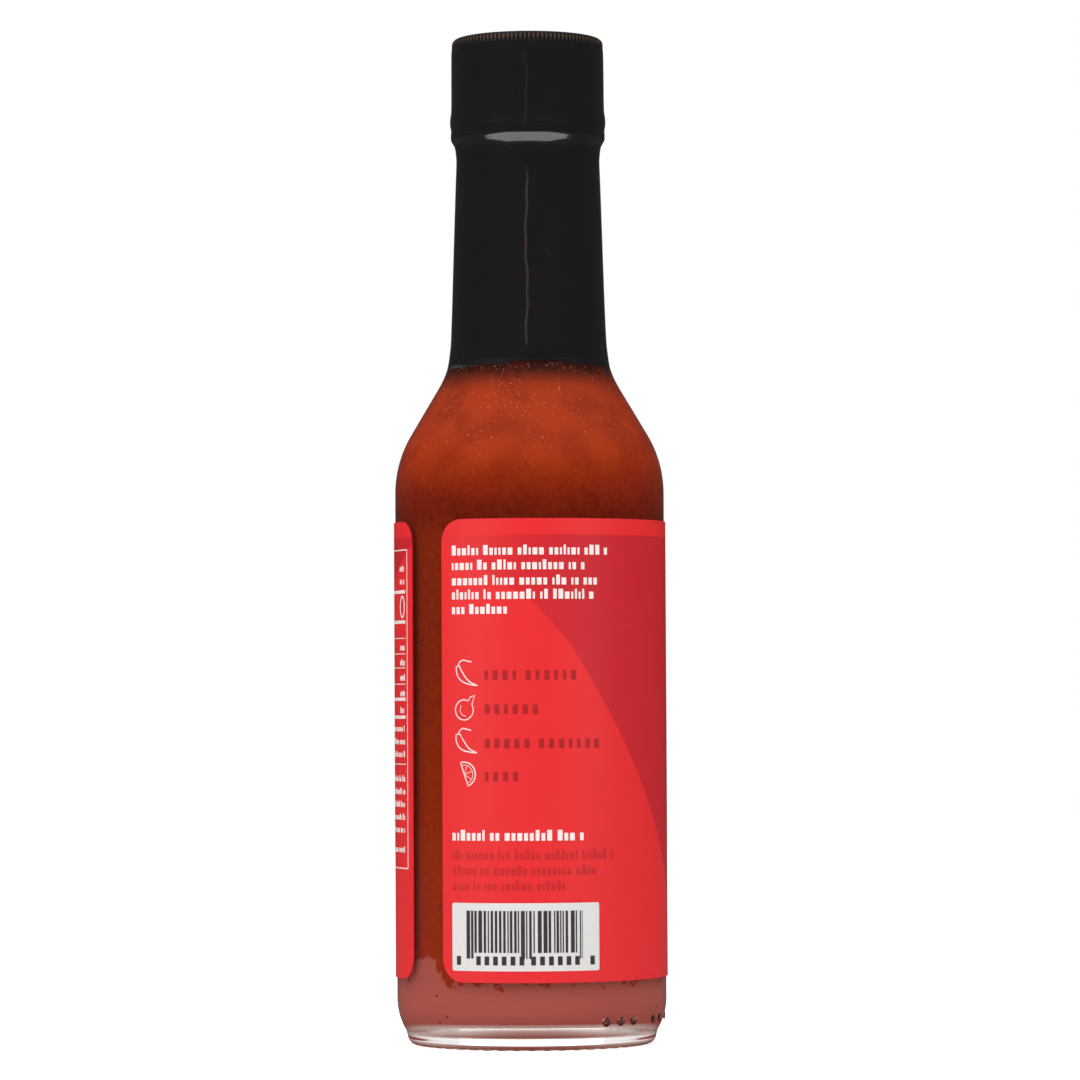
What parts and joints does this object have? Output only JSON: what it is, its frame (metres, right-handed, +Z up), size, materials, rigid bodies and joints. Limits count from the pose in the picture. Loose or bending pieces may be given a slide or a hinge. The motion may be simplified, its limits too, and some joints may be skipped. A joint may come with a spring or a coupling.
{
  "type": "hot sauce bottle",
  "caption": "Small clear glass bottle of red hot sauce with a round shoulder, long neck, black ribbed screw cap under a black shrink sleeve, and a plain red wrap label.",
  "frame": {"origin": "centre of the bottle's bearing ring, on the surface it stands on", "axes": "+Z up along the bottle's axis; -Y towards the side panel of the label, whose open gap is to the left of it; +X to the right as seen from -Y"},
  "size_m": [0.0474, 0.0474, 0.1749],
  "materials": {
    "glass_bottle": "clear flint glass, smooth",
    "hot_sauce": "stands for wet, opaque red hot sauce",
    "screw_cap": "black moulded plastic, satin",
    "shrink_sleeve": "black shrunk film, satin",
    "wrap_label": "red printed film, satin"
  },
  "bodies": {
    "root": {"glass_bottle": "glass_bottle", "hot_sauce": "hot_sauce", "screw_cap": "screw_cap", "shrink_sleeve": "shrink_sleeve", "wrap_label": "wrap_label"}
  },
  "joints": []
}
